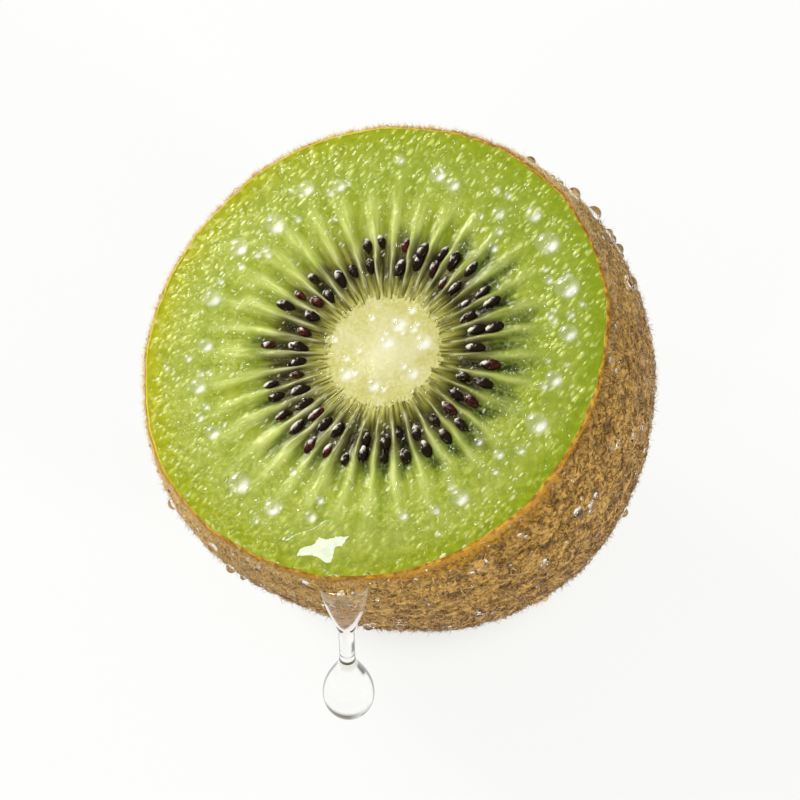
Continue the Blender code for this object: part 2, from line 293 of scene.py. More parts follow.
def painted_bead_light(flat):
    """Painted light that beads cast on the flesh beneath them: a bright crescent away from the key lamp, a
    painted highlight spot on the side towards it and a faint pale halo.
    """
    away = math.atan2(-TO_KEY_LAMP.y, -TO_KEY_LAMP.x)
    shine = np.zeros(len(flat))
    for middle, size in zip(*bead_layout()):
        near = np.hypot(*(flat - middle).T / size) < 1.3
        angle, reach = angle_and_reach((flat[near] - middle) / size)
        turn = nearest_turn(angle - away)
        crescent = 1.3 * np.exp(-(((reach - 0.5) / 0.33) ** 2) - (turn / 0.95) ** 2)
        if math.dist(middle, CORE_CENTRE) < CORE_RADIUS:
            crescent = 1.1 * np.exp(-(((reach - 0.3) / 0.46) ** 2) - (turn / 1.7) ** 2)
        spot = 0.7 * np.exp(-(((reach - 0.62) / 0.2) ** 2) - ((np.abs(turn) - math.pi) / 0.4) ** 2)
        halo = 0.12 * ease((1.05 - reach) / 0.25)
        shine[near] = np.maximum.reduce((shine[near], crescent, spot, halo))
    return np.minimum(shine, 1.0)


def film_share(flat):
    """How far out of the film's middle a place on the face is, 1 at the film's edge."""
    angle, reach = angle_and_reach((flat - FILM_MIDDLE) / FILM_REACH)
    lobes = 1 + 0.16 * np.cos(2 * angle + 0.4) + 0.10 * np.cos(3 * angle + 2.0) + 0.06 * np.cos(7 * angle)
    return reach / lobes


def on_face(flat):
    """Points on the wet face over (x, y) places."""
    height, *_ = face_relief(flat)
    return np.column_stack((flat, CUT_HEIGHT + height))


def on_skin(angle, height):
    """Points on the skin and the directions out of it."""
    radius = round_radius(height) * outline_share(angle, height)
    point = np.stack((radius * np.cos(angle), radius * np.sin(angle), height), axis=-1)
    out = point / np.array((FRUIT_RADIUS**2, FRUIT_RADIUS**2, HALF_LENGTH**2))
    return point, out / np.linalg.norm(out, axis=-1, keepdims=True)


def skin_lumps(points):
    """Height of the skin's lumps, which fade out at the rim."""
    lumps = 0.18 * drift(points, 1.5, 2.2) + 0.12 * drift(points, 0.7, 6.1)
    return lumps * ease((CUT_HEIGHT - points[:, 2]) / 1.5)


def bare_width(angle):
    """How far under the rim the skin is wet and has no fuzz."""
    away = nearest_turn(angle - BARE_MIDDLE)
    swing = 0.28 * np.sin(5 * angle + 0.6) + 0.18 * np.sin(13 * angle)
    return BARE_WIDTH + BARE_EXTRA * np.exp(-((away / BARE_SPREAD) ** 2)) * (1 + swing) + 0.2 * swing


def fruit_axes():
    """The fruit's leaning axes over the floor, as in the solids, with metres for millimetres."""
    up = Vector((math.sin(LEAN), 0.0, math.cos(LEAN)))
    reach = math.sqrt((FRUIT_RADIUS * up.x) ** 2 + (HALF_LENGTH * up.z) ** 2)
    sideways = (HALF_LENGTH**2 - FRUIT_RADIUS**2) * up.x * up.z / reach
    shift = Matrix.Translation((-sideways, 0.0, reach - FLAT_DEPTH))
    return Matrix.Scale(0.001, 4) @ shift @ Matrix.Rotation(-LEAN, 4, "Y")


TO_WORLD = fruit_axes()
FACE_MIDDLE = TO_WORLD @ Vector((0.0, 0.0, CUT_HEIGHT))
TO_KEY_LAMP = TO_WORLD.inverted().to_3x3() @ Vector(KEY_DIRECTION)


# Meshes


def mesh_of(bm):
    bmesh.ops.recalc_face_normals(bm, faces=bm.faces)
    mesh = bpy.data.meshes.new("shape")
    bm.to_mesh(mesh)
    bm.free()
    return mesh


def get_places(mesh):
    flat = np.empty(len(mesh.vertices) * 3, np.float32)
    mesh.vertices.foreach_get("co", flat)
    return flat.reshape(-1, 3).astype(float)


def set_places(mesh, places):
    mesh.vertices.foreach_set("co", places.astype(np.float32).ravel())
    mesh.update()


def keep_values(mesh, name, values):
    """Stores a number or a vector for each vertex, for the materials."""
    kind, key = ("FLOAT", "value") if values.ndim == 1 else ("FLOAT_VECTOR", "vector")
    layer = mesh.attributes.new(name, kind, "POINT")
    layer.data.foreach_set(key, values.astype(np.float32).ravel())


def turned(profile, sectors):
    """A closed shape turned from (radius, height) points that start and end on the axis."""
    bm = bmesh.new()
    line = [bm.verts.new((radius, 0.0, height)) for radius, height in profile]
    edges = [bm.edges.new(pair) for pair in zip(line, line[1:])]
    way = {"cent": (0, 0, 0), "axis": (0, 0, 1), "angle": math.tau}
    bmesh.ops.spin(bm, geom=line + edges, steps=sectors, use_merge=True, **way)
    bmesh.ops.remove_doubles(bm, verts=bm.verts, dist=1e-4)
    return mesh_of(bm)


def add_object(name, data):
    """Puts a mesh, a lamp or a camera in the scene."""
    item = bpy.data.objects.new(name, data)
    bpy.context.scene.collection.objects.link(item)
    return item


def add_piece(name, mesh, finish, stands_for=(), floor=0.0):
    """Moves a mesh to its place in metres, never under the floor, and hands it to the frame."""
    mesh.transform(TO_WORLD)
    places = get_places(mesh)
    places[:, 2] = np.maximum(places[:, 2], floor)
    set_places(mesh, places)
    mesh.name = name
    mesh.materials.append(finish)
    mesh.shade_smooth()
    item = add_object(name, mesh)
    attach(item, "root")
    if stands_for:
        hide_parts(*stands_for)


def copies(pattern, places, tints=None):
    """One joined mesh with the pattern at each 4 by 4 place, and a tint kept for each copy."""
    corners = get_places(pattern)
    count, size = len(places), len(corners)
    points = np.einsum("mij,nj->mni", places[:, :3, :3], corners) + places[:, None, :3, 3]
    loops = np.empty(len(pattern.loops), np.int32)
    pattern.loops.foreach_get("vertex_index", loops)
    starts = np.empty(len(pattern.polygons), np.int32)
    pattern.polygons.foreach_get("loop_start", starts)
    step = np.arange(count, dtype=np.int32)[:, None]
    mesh = bpy.data.meshes.new("copies")
    mesh.vertices.add(count * size)
    mesh.vertices.foreach_set("co", points.astype(np.float32).ravel())
    mesh.loops.add(count * len(loops))
    mesh.loops.foreach_set("vertex_index", (loops + step * size).ravel())
    mesh.polygons.add(count * len(starts))
    mesh.polygons.foreach_set("loop_start", (starts + step * len(loops)).ravel())
    mesh.update(calc_edges=True)
    mesh.validate()
    if tints is not None:
        keep_values(mesh, "tint", np.repeat(tints, size))
    return mesh


def frames(points, outwards, headings, sizes):
    """4 by 4 places with +Z outwards, +X turned by a heading, and the given sizes along each."""
    outwards = np.broadcast_to(outwards, points.shape)
    reference = np.where(np.abs(outwards[:, 2:3]) < 0.9, (0.0, 0.0, 1.0), (1.0, 0.0, 0.0))
    side = np.cross(reference, outwards)
    side /= np.linalg.norm(side, axis=1, keepdims=True)
    other = np.cross(outwards, side)
    cos, sin = np.cos(headings)[:, None], np.sin(headings)[:, None]
    along, across = side * cos + other * sin, other * cos - side * sin
    made = np.zeros((len(points), 4, 4))
    made[:, :3, 0] = along * sizes[:, 0:1]
    made[:, :3, 1] = across * sizes[:, 1:2]
    made[:, :3, 2] = outwards * sizes[:, 2:3]
    made[:, :3, 3] = points
    made[:, 3, 3] = 1
    return made


# The cut flesh


def skin_line(turns, inset=0.0):
    """(radius, height) points down the skin, or down a layer that far inside it."""
    return [(float(round_radius(h)) - inset, h) for h in HALF_LENGTH * np.sin(turns)]


def flesh_profile():
    """Up the pocket, out over the face and back under the skin."""
    spindle = CORE_HALF_LENGTH + CLEARANCE
    mouth_turn = math.asin(CUT_HEIGHT / spindle)
    turns = np.linspace(-math.pi / 2, mouth_turn, 8)[:-1]
    pocket = [(core_radius(h) + CLEARANCE * (i > 0), h) for i, h in enumerate(spindle * np.sin(turns))]
    pocket[0] = (0.0, -spindle)
    mouth = float(core_radius(CUT_HEIGHT)) + CLEARANCE
    edge = FACE_RADIUS - SKIN_THICKNESS + 0.05
    fine = np.arange(mouth, SEED_ZONE_END, FINE_STEP)
    coarse = np.linspace(SEED_ZONE_END, edge, round((edge - SEED_ZONE_END) / COARSE_STEP) + 1)
    face = [(r, CUT_HEIGHT) for r in (fine[0], fine[0] + 0.02, *fine[1:], *coarse[:-1], edge - 0.03, edge)]
    start = math.asin((CUT_HEIGHT - 0.25) / HALF_LENGTH)
    turns = np.linspace(start, -math.pi / 2, 14)
    inset = SKIN_THICKNESS + 0.05
    return pocket + face + skin_line(turns[:-1], inset) + [(0.0, -HALF_LENGTH + inset)]


def keep_face_values(mesh, upper, turn, share, ray, gel):
    """What the cut face's materials read: place in the ring of rays, masks, painted bead light and film.
    """
    places = get_places(mesh)
    spread = np.zeros((len(places), 3))
    spread[upper] = np.column_stack((unit(turn), share))
    masks = np.zeros((2, len(places)))
    masks[:, upper] = ray, gel
    keep_values(mesh, "ring_place", spread)
    keep_values(mesh, "ray", masks[0])
    keep_values(mesh, "gel", masks[1])
    # The painted light under the beads.
    keep_values(mesh, "shine", np.where(upper, painted_bead_light(places[:, :2]), 0))
    filmed = ease((1.05 - film_share(places[:, :2])) / 0.15)
    keep_values(mesh, "filmed", np.where(upper, filmed, 0))


def make_flesh(finish):
    """The wet cut face with its relief, the pocket for the core and the back under the skin."""
    mesh = turned(flesh_profile(), FACE_SECTORS)
    places = get_places(mesh)
    angle, radius = angle_and_reach(places)
    mouth = core_radius(CUT_HEIGHT) + CLEARANCE
    upper = places[:, 2] > CUT_HEIGHT - 1e-3
    pocket = ~upper & (radius < 0.8 * round_radius(places[:, 2])) & (places[:, 2] > -CORE_HALF_LENGTH - 1)
    back = ~upper & ~pocket
    places[pocket, :2] = CORE_CENTRE + places[pocket, :2] * CORE_STRETCH
    places[back, :2] *= outline_share(angle, places[:, 2])[back, None]
    way = ((radius[upper] - mouth) / (FACE_RADIUS - mouth))[:, None]
    inner = CORE_CENTRE + unit(angle[upper]) * mouth * CORE_STRETCH
    places[upper, :2] = inner + (rim_place(angle[upper]) - inner) * way
    height, turn, share, ray, gel = face_relief(places[upper, :2])
    places[upper, 2] += height
    set_places(mesh, places)
    keep_face_values(mesh, upper, turn, share, ray, gel)
    add_piece("green_flesh", mesh, finish, ["kiwi_flesh"], floor=0.0004)


def make_core(finish):
    """The pale core, grown by the solids' clearance so that no gap shows round it."""
    spare = CLEARANCE + 0.1
    turns = np.linspace(-math.pi / 2, math.asin(CUT_HEIGHT / CORE_HALF_LENGTH), 14)[1:-1]
    heights = CORE_HALF_LENGTH * np.sin(turns)
    side = [(float(core_radius(h)) + spare, h) for h in heights]
    edge = float(core_radius(CUT_HEIGHT)) + spare
    top = [(edge - 0.02, CUT_HEIGHT - 0.25)]
    top += [(edge * share, CUT_HEIGHT) for share in np.linspace(1.0, 0.0, 52)]
    mesh = turned([(0.0, -CORE_HALF_LENGTH)] + side + top, 8 * RAYS)
    places = get_places(mesh)
    places[:, :2] = CORE_CENTRE + places[:, :2] * CORE_STRETCH
    upper = places[:, 2] > CUT_HEIGHT - 1e-3
    height, turn, share, ray, _ = face_relief(places[upper, :2])
    from_core = np.hypot(*((places[upper, :2] - CORE_CENTRE) / CORE_STRETCH).T)
    crown = FACE_SWELL * ease(1 - from_core / edge)
    under = 0.02 * ease((from_core - (edge - 0.14)) / 0.06)
    places[upper, 2] += height + crown - under
    set_places(mesh, places)
    keep_face_values(mesh, upper, turn, share, ray, 0 * ray)
    add_piece("pale_core", mesh, finish, ["kiwi_core"])


# The seeds


def seed_pattern():
    """A drop-shaped seed along X, of length 1, its thin end at -X."""
    bm = bmesh.new()
    bmesh.ops.create_uvsphere(bm, u_segments=16, v_segments=10, radius=0.5)
    bmesh.ops.rotate(bm, verts=bm.verts, matrix=Matrix.Rotation(math.pi / 2, 3, "Y"))
    for vert in bm.verts:
        pinch = 1 - 0.55 * max(0.0, -vert.co.x)
        vert.co.y *= pinch
        vert.co.z *= pinch
    return mesh_of(bm)


def seed_places():
    """Angle, share of the way to the rim, size and turn of each seed, drawn as for the solids."""
    draw = random.Random(SEED_DRAW)
    for cell in range(RAYS):
        middle = math.tau * (cell + 0.5) / RAYS
        for share, filled in SEED_ROWS:
            present = draw.random() < filled
            angle = middle + draw.uniform(-0.032, 0.032)
            place = share + RING_SHIFT * math.cos(angle - RING_SHIFT_ANGLE)
            place += draw.uniform(-0.02, 0.02)
            size = draw.uniform(0.86, 1.12)
            turn = draw.uniform(-0.22, 0.22)
            if present:
                yield angle, place, size, turn


def painted_seed_highlight(places, size):
    """Share of painted highlight on the seeds' vertices: on the end of each that is nearest the key lamp.
    """
    along = (places @ np.array(TO_KEY_LAMP)).reshape(-1, size)
    low, high = along.min(axis=1, keepdims=True), along.max(axis=1, keepdims=True)
    return ease(((along - low) / (high - low) - 0.72) / 0.12).ravel()


def make_seeds(finish):
    """The seeds, sunk into the face to different depths and pitched a little."""
    angle, share, size, turn = np.array(list(seed_places())).T
    points = on_face(face_place(angle, share))
    draw = np.random.default_rng(SEED_PITCH_DRAW)
    points[:, 2] += draw.uniform(-0.22, 0.16, len(points)) * SEED_THICKNESS
    heading = angle_and_reach(rim_place(angle) - CORE_CENTRE)[0] + turn
    pitch = draw.normal(0, 0.2, len(points))
    length = SEED_LENGTH * size
    width = SEED_WIDTH * size * draw.uniform(0.8, 1.08, len(points))
    sizes = np.column_stack((length * np.cos(pitch), width, SEED_THICKNESS * size))
    made = frames(points, UP, heading + math.pi / 2, sizes)
    made[:, 2, 0] = length * np.sin(pitch)
    pattern = seed_pattern()
    mesh = copies(pattern, made, draw.random(len(points)))
    # The share of painted highlight on each vertex, which the seed coat reads.
    keep_values(mesh, "shine", painted_seed_highlight(get_places(mesh), len(pattern.vertices)))
    add_piece("black_seeds", mesh, finish, ["kiwi_flesh"])


# The skin and its fuzz


def skin_profile():
    """The outer skin from its stem end to the rim, over the cut edge and down the inside."""
    start = math.asin((CUT_HEIGHT - 0.12) / HALF_LENGTH)
    turns = np.linspace(-math.pi / 2, start, SKIN_RINGS)[1:]
    inner_edge = FACE_RADIUS - SKIN_THICKNESS
    edge = [(FACE_RADIUS - 0.05, CUT_HEIGHT), (FACE_RADIUS - 0.13, CUT_HEIGHT + 0.03)]
    edge += [(inner_edge + 0.08, CUT_HEIGHT + 0.03), (inner_edge, CUT_HEIGHT - 0.06)]
    inner = [point for point in skin_line(turns[::-8][1:], SKIN_THICKNESS) if point[0] > 1.0]
    top, foot = (0.0, -HALF_LENGTH), (0.0, SKIN_THICKNESS - HALF_LENGTH)
    return [top] + skin_line(turns) + edge + inner + [foot]


def make_skin(finish):
    """The lumpy skin with its ragged cut edge and the scar at the stem end."""
    mesh = turned(skin_profile(), SKIN_SECTORS)
    places = get_places(mesh)
    angle, radius = angle_and_reach(places)
    below = CUT_HEIGHT - places[:, 2]
    outer = radius > round_radius(places[:, 2]) - 0.3
    share = outline_share(angle, np.minimum(places[:, 2], CUT_HEIGHT))
    lumps = skin_lumps(places) * outer
    dent = SCAR_DEPTH * np.exp(-((radius / SCAR_RADIUS) ** 2)) * (places[:, 2] < 0)
    places[:, :2] *= (share + lumps / np.maximum(radius, 4.0))[:, None]
    places[:, 2] += dent
    edge = ease(1 - np.abs(below) / 0.25)
    ragged = drift(places, 0.9, 7.3) + 0.6 * drift(places, 0.35, 1.3)
    places[:, 2] += 0.13 * ragged * edge
    set_places(mesh, places)
    bare = ease((bare_width(angle) - below + 0.4) / 0.7) * outer
    keep_values(mesh, "bare", bare)
    keep_values(mesh, "lump", lumps)
    keep_values(mesh, "below_rim", below)
    add_piece("brown_skin", mesh, finish, ["kiwi_flesh"])


def hair_pattern(stages):
    """One straight three-sided hair along X, of length 1, closed at both ends."""
    bm = bmesh.new()
    ring = bmesh.ops.create_circle(bm, segments=3, radius=1.0)["verts"]
    bmesh.ops.rotate(bm, verts=ring, matrix=Matrix.Rotation(math.pi / 2, 3, "Y"))
    bm.faces.new(ring)
    edges = list(bm.edges)
    for stage in range(1, stages + 1):
        made = bmesh.ops.extrude_edge_only(bm, edges=edges)["geom"]
        ring = [part for part in made if isinstance(part, bmesh.types.BMVert)]
        edges = [part for part in made if isinstance(part, bmesh.types.BMEdge)]
        bmesh.ops.translate(bm, verts=ring, vec=(1 / stages, 0, 0))
        if stage < stages:
            bmesh.ops.scale(bm, verts=ring, vec=(1.0, 0.85, 0.85))
    bmesh.ops.pointmerge(bm, verts=ring, merge_co=(1.0, 0.0, 0.0))
    return mesh_of(bm)


def skin_bead_layout():
    """Places, directions out and radii of the beads that sit on the skin, most near the rim."""
    draw = np.random.default_rng(SKIN_BEAD_DRAW)
    turn, below, size = np.array(SKIN_BEADS, float).T
    more = MORE_SKIN_BEADS
    angle = np.concatenate((np.radians(turn), draw.uniform(-math.pi, math.pi, more)))
    below = np.concatenate((below, 0.8 + 24 * draw.random(more) ** 1.7))
    size = np.concatenate((size, 0.25 + 0.4 * draw.random(more) ** 2))
    point, out = on_skin(angle, CUT_HEIGHT - below)
    return point, out, size


def painted_light_under_beads(points):
    """Share of the painted light that beads gather on the hairs beneath them."""
    share = np.zeros(len(points))
    for middle, _, size in zip(*skin_bead_layout()):
        share = np.maximum(share, ease(1.6 - np.linalg.norm(points - middle, axis=1) / size))
    return share


def fuzz_tint(draw, point):
    """How pale each hair is: painted light at the upper and lower left and under the beads, painted shade
    under the rim at the lower right.
    """
    under = CUT_HEIGHT - point[:, 2]
    pale = ease(point @ UPPER_LEFT / 16) * ease(1 - under / 7)
    painted_glow_lower_left = ease((point @ LOWER_LEFT - 5) / 12) * ease(1 - under / 14)
    pale = np.maximum(pale, 1.3 * painted_glow_lower_left)
    # Painted shade under the rim at the lower right.
    shade = 0.3 * ease((point @ LOWER_RIGHT - 9) / 14) * (1 + np.exp(-(((under - 3.0) / 4.0) ** 2)))
    mixed = draw.beta(1.3, 1.5, len(point)) + 0.6 * drift(point, 1.1, 3.3)
    return mixed + 0.6 * pale - shade + 1.2 * painted_light_under_beads(point)


def make_fuzz(name, finish, count, seed, stages, length, width, lift, arch, wild, fringe):
    """Hairs that lie in swirls, over the whole skin but the bare band, or in a fringe at the rim."""
    draw = np.random.default_rng(seed)
    angle = draw.uniform(-math.pi, math.pi, count)
    height = HALF_LENGTH * draw.uniform(-0.995, CUT_HEIGHT / HALF_LENGTH, count)
    kept = CUT_HEIGHT - height > bare_width(angle) * draw.uniform(0.6, 1.2, count)
    if fringe:
        height = CUT_HEIGHT - 0.04 - fringe * draw.random(count) ** 1.3
        kept = CUT_HEIGHT - height > bare_width(angle) - 0.6
    angle, height = angle[kept], height[kept]
    point, out = on_skin(angle, height)
    kept = moved(point, TO_WORLD)[:, 2] > FUZZ_CLEARANCE
    point, out = point[kept], out[kept]
    count = len(point)
    point = point + out * (skin_lumps(point) - 0.05)[:, None]
    heading = 9 * drift(point, 1.6, 5.5) + draw.normal(0, wild, count)
    long = length * draw.uniform(0.55, 1.25, count)
    thick = width * draw.uniform(0.6, 1.35, count)
    tilt = lift * draw.uniform(0.3, 1.6, count)
    made = frames(point, out, heading, np.column_stack((long, thick, thick)))
    made[:, :3, 0] += out * (tilt * long)[:, None]
    pattern = hair_pattern(stages)
    places = get_places(pattern)
    places[:, 2] += arch / width * np.sin(math.pi * places[:, 0])
    set_places(pattern, places)
    # The tint carries painted light and shade as well as each hair's own tone.
    tint = np.clip(fuzz_tint(draw, point) + 0.25 * bool(fringe), 0, 1)
    mesh = copies(pattern, made, tint)
    keep_values(mesh, "tip", np.tile(places[:, 0], count))
    add_piece(name, mesh, finish, ["kiwi_flesh"], floor=0.00002)


# Water


def ball(steps):
    """A ball of radius 1, from its steps round and up."""
    bm = bmesh.new()
    bmesh.ops.create_uvsphere(bm, u_segments=steps[0], v_segments=steps[1], radius=1.0)
    return mesh_of(bm)


def add_beads(name, finish, steps, points, outwards, headings, sizes):
    """Drops at the given points, each a ball with a flatter foot under its middle."""
    pattern = ball(steps)
    places = get_places(pattern)
    places[:, 2] *= np.where(places[:, 2] < 0, 0.35, 1.0)
    set_places(pattern, places)
    made = frames(points, outwards, headings, np.column_stack(sizes))
    add_piece(name, copies(pattern, made), finish, floor=BEAD_CLEARANCE)


def make_face_beads(finish):
    """The large beads that the cut face holds, a little uneven, and smaller ones between them."""
    draw = np.random.default_rng(FACE_SHAPE_DRAW)
    flat, size = bead_layout()
    points = on_face(flat)
    uneven = draw.uniform(0.88, 1.14, (len(points), 2))
    sizes = (size[:, None] * uneven, 0.66 * size)
    points[:, 2] -= 0.05 * size
    headings = draw.uniform(0, math.tau, len(points))
    add_beads("face_beads", finish, FACE_BALL, points, UP, headings, sizes)


def make_fine_beads(finish):
    """Hundreds of tiny beads, thickest on the outer flesh."""
    draw = np.random.default_rng(FINE_BEAD_DRAW)
    count = FINE_BEAD_COUNT
    angle = draw.uniform(-math.pi, math.pi, count)
    in_ring = draw.random(count) < 0.1
    share = np.where(in_ring, draw.uniform(0.22, 0.58, count), draw.uniform(0.55, 0.975, count))
    points = on_face(face_place(angle, share))
    size = 0.19 + 0.18 * draw.random(count) ** 2
    sizes = (size * draw.uniform(0.9, 2.3, count), size, 0.4 * size)
    headings = draw.normal(-0.9, 0.5, count)
    add_beads("fine_beads", finish, SMALL_BALL, points, UP, headings, sizes)


def make_skin_beads(finish):
    """Beads that sit on the fuzzy skin, most of them near the rim."""
    draw = np.random.default_rng(SKIN_SHAPE_DRAW)
    point, out, size = skin_bead_layout()
    sizes = (size, size * draw.uniform(0.9, 1.2, len(size)), size)
    headings = draw.uniform(0, math.tau, len(size))
    point = point + SKIN_BEAD_LIFT * out
    add_beads("skin_beads", finish, SKIN_BALL, point, out, headings, sizes)


def make_dew(finish):
    """Tiny droplets caught among the hairs."""
    draw = np.random.default_rng(DEW_DRAW)
    count = DEW_COUNT
    angle = draw.uniform(-math.pi, math.pi, count)
    height = CUT_HEIGHT - 0.5 - 30 * draw.random(count) ** 1.4
    point, out = on_skin(angle, height)
    size = 0.10 + 0.24 * draw.random(count) ** 2
    sizes = (size, size * draw.uniform(0.8, 1.1, count), size)
    headings = draw.uniform(0, math.tau, count)
    add_beads("skin_dew", finish, SMALL_BALL, point + DEW_LIFT * out, out, headings, sizes)


def drip_rings():
    """Depth under the rim, half width, half thickness and distance out of each ring, from the top."""
    wide, thick = FUNNEL_HALF_WIDTH, FUNNEL_THICKNESS
    yield -LIP_HEIGHT, 0.72 * wide, 0.55 * LIP_REACH, -0.45 * LIP_REACH
    yield -0.7 * LIP_HEIGHT, 0.95 * wide, LIP_REACH, -0.1 * LIP_REACH
    start_out = 0.4 * thick
    for share in np.linspace(0, 1, 41)[:-1]:
        narrowed = math.cos(math.pi / 2 * share) ** 1.3
        width = NECK_RADIUS + (wide - NECK_RADIUS) * narrowed
        depth = NECK_RADIUS + (thick - NECK_RADIUS) * float(1 - ease(share))
        yield FUNNEL_HEIGHT * share, width, depth, start_out + (NECK_OUT - start_out) * float(ease(share))
    for share in np.linspace(0, 1, 41)[:-1]:
        yield FUNNEL_HEIGHT + NECK_HEIGHT * share, NECK_RADIUS, NECK_RADIUS, NECK_OUT
    top = FUNNEL_HEIGHT + NECK_HEIGHT
    for share in np.linspace(0, 1, 61)[:-1]:
        radius = NECK_RADIUS + (DROP_RADIUS - NECK_RADIUS) * float(ease(share))
        yield top + TAPER_HEIGHT * share, radius, radius, NECK_OUT
    for turn in np.linspace(0, math.pi / 2, 25)[:-1]:
        radius = DROP_RADIUS * math.cos(turn)
        yield top + TAPER_HEIGHT + DROP_BELOW * math.sin(turn), radius, radius, NECK_OUT


def make_drip(finish):
    """The hanging drip, in the world's upright directions from its place on the rim."""
    rim = np.array(TO_WORLD @ Vector((*rim_place(DRIP_ANGLE), CUT_HEIGHT))) * 1000
    depth, wide, thick, out = np.array(list(drip_rings())).T
    bottom = FUNNEL_HEIGHT + NECK_HEIGHT + TAPER_HEIGHT + DROP_BELOW
    profile = [(0.0, LIP_HEIGHT)] + [(1.0, -level) for level in depth] + [(0.0, -bottom)]
    mesh = turned(profile, DRIP_SECTORS)
    places = get_places(mesh)
    depths = -places[:, 2]
    keep_values(mesh, "way", np.column_stack((places[:, 0], -places[:, 1], depths)))
    slope = math.tan(LEAN) * np.clip(1 - depths / FUNNEL_HEIGHT, 0, 1)
    across = places[:, 0] * np.interp(depths, depth, wide)
    away = places[:, 1] * np.interp(depths, depth, thick) - np.interp(depths, depth, out)
    points = rim + np.column_stack((across, away, slope * across - depths))
    to_fruit = np.array(TO_WORLD.inverted()) @ np.diag((0.001, 0.001, 0.001, 1))
    local = moved(points, to_fruit)
    angle, radius = angle_and_reach(local)
    skin = round_radius(local[:, 2]) * outline_share(angle, local[:, 2]) - 0.05
    inside = (radius < skin) & (local[:, 2] < CUT_HEIGHT)
    local[inside, :2] *= (skin / radius)[inside, None]
    set_places(mesh, local)
    normals = np.empty(len(points) * 3, np.float32)
    mesh.vertex_normals.foreach_get("vector", normals)
    # How squarely each place faces the camera; the drip's painted dark edge lines follow it.
    towards = np.array((0.0, -math.cos(CAMERA_ELEVATION), math.sin(CAMERA_ELEVATION)))
    slant = normals.reshape(-1, 3) @ (1000 * np.array(TO_WORLD.to_3x3()).T) @ towards
    keep_values(mesh, "slant", np.abs(slant))
    add_piece("juice_drip_clear", mesh, finish, ["juice_drip"])


def make_pool(finish):
    """A smooth film of juice on the face by the rim, over the place where the drip leaves it."""
    mesh = ball(FILM_BALL)
    places = get_places(mesh)
    way = places[:, :2] * FILM_REACH
    flat = FILM_MIDDLE + way / np.maximum(film_share(FILM_MIDDLE + way), 1e-6)[:, None]
    flat = FILM_MIDDLE + (flat - FILM_MIDDLE) * angle_and_reach(places)[1][:, None]
    flat *= np.minimum(1, (FACE_RADIUS - 0.35) / angle_and_reach(flat)[1])[:, None]
    film = np.clip(film_share(flat), 0, 1)
    solid = on_face(flat)
    level = CUT_HEIGHT + FACE_SWELL
    away = flat - FILM_MIDDLE
    bulge = FILM_THICKNESS - (away**2 / (2 * FILM_CURVE)).sum(axis=1)
    swell = 0.024 * drift(np.column_stack((flat, 0 * film)), 2.6, 4.1)
    edge = ease((film - 0.8) / 0.2)
    upper = (level + bulge + swell) * (1 - edge) + (solid[:, 2] - 0.03) * edge
    height = np.where(places[:, 2] > 0, upper, solid[:, 2] - 0.15)
    set_places(mesh, np.column_stack((flat, height)))
    add_piece("juice_film", mesh, finish)


# Materials


def display(red, green, blue):
    """A colour as seen on a screen, 0 to 255, as the light that a shader works in."""
    shares = np.array((red, green, blue)) / 255
    low, high = shares / 12.92, ((shares + 0.055) / 1.055) ** 2.4
    return tuple(float(value) for value in np.where(shares <= 0.04045, low, high))


class Drawing:
    """A node tree being drawn up: each call adds a node and gives back its first output."""

    def __init__(self, tree):
        self.tree = tree

    def node(self, kind, inputs=None, **settings):
        made = self.tree.nodes.new(kind)
        for key, value in settings.items():
            setattr(made, key, value)
        self.fill(made, inputs or {})
        return made

    def fill(self, node, inputs):
        """Sets a node's inputs, each to a value or to another node's output."""
        for key, value in inputs.items():
            self.feed(node.inputs[key], value)

    def feed(self, socket, value):
        if isinstance(value, bpy.types.NodeSocket):
            self.tree.links.new(value, socket)
        elif isinstance(value, tuple) and len(value) == 3 and socket.type == "RGBA":
            socket.default_value = (*value, 1.0)
        else:
            socket.default_value = value

    def maths(self, operation, *values):
        return self.node("ShaderNodeMath", dict(enumerate(values)), operation=operation).outputs[0]

    def times(self, first, second):
        return self.maths("MULTIPLY", first, second)

    def scaled(self, value, factor, shift):
        return self.maths("MULTIPLY_ADD", value, factor, shift)

    def most(self, first, second):
        return self.maths("MAXIMUM", first, second)

    def blend(self, share, first, second):
        made = self.node("ShaderNodeMix", {0: share, 6: first, 7: second}, data_type="RGBA")
        return made.outputs[2]

    def shades(self, share, first, second):
        """A mix of two colours as seen on a screen."""
        return self.blend(share, display(*first), display(*second))

    def between(self, value, low, high, to_low=0.0, to_high=1.0):
        """Eases a value between two limits into a range."""
        numbers = dict(enumerate((value, low, high, to_low, to_high)))
        return self.node("ShaderNodeMapRange", numbers, interpolation_type="SMOOTHSTEP").outputs[0]

    def grain(self, place, size, detail=2.0, roughness=0.5, distortion=0.0):
        """Noise from 0 to 1 with lumps of about that size, in the place's own units."""
        inputs = {"Scale": 1 / size, "Detail": detail, "Roughness": roughness, "Distortion": distortion}
        return self.node("ShaderNodeTexNoise", {"Vector": place, **inputs}).outputs["Fac"]

    def cells(self, place, scale):
        """Distance from the middle of the nearest cell, and two random numbers of that cell."""
        made = self.node("ShaderNodeTexVoronoi", {"Vector": place, "Scale": scale}).outputs
        return made["Distance"], *self.split(made["Color"])[:2]

    def bump(self, strength, distance, height):
        inputs = {"Strength": strength, "Distance": distance, "Height": height}
        return self.node("ShaderNodeBump", inputs).outputs[0]

    def kept(self, name, output="Fac"):
        """A value kept on the mesh's vertices."""
        return self.node("ShaderNodeAttribute", attribute_name=name).outputs[output]

    def join(self, x, y, z):
        return self.node("ShaderNodeCombineXYZ", {0: x, 1: y, 2: z}).outputs[0]

    def split(self, vector):
        return self.node("ShaderNodeSeparateXYZ", {0: vector}).outputs

    def slope(self):
        """How steeply the surface turns away from the eye, from 0 to 1."""
        return self.node("ShaderNodeLayerWeight", {"Blend": 0.5}).outputs["Facing"]


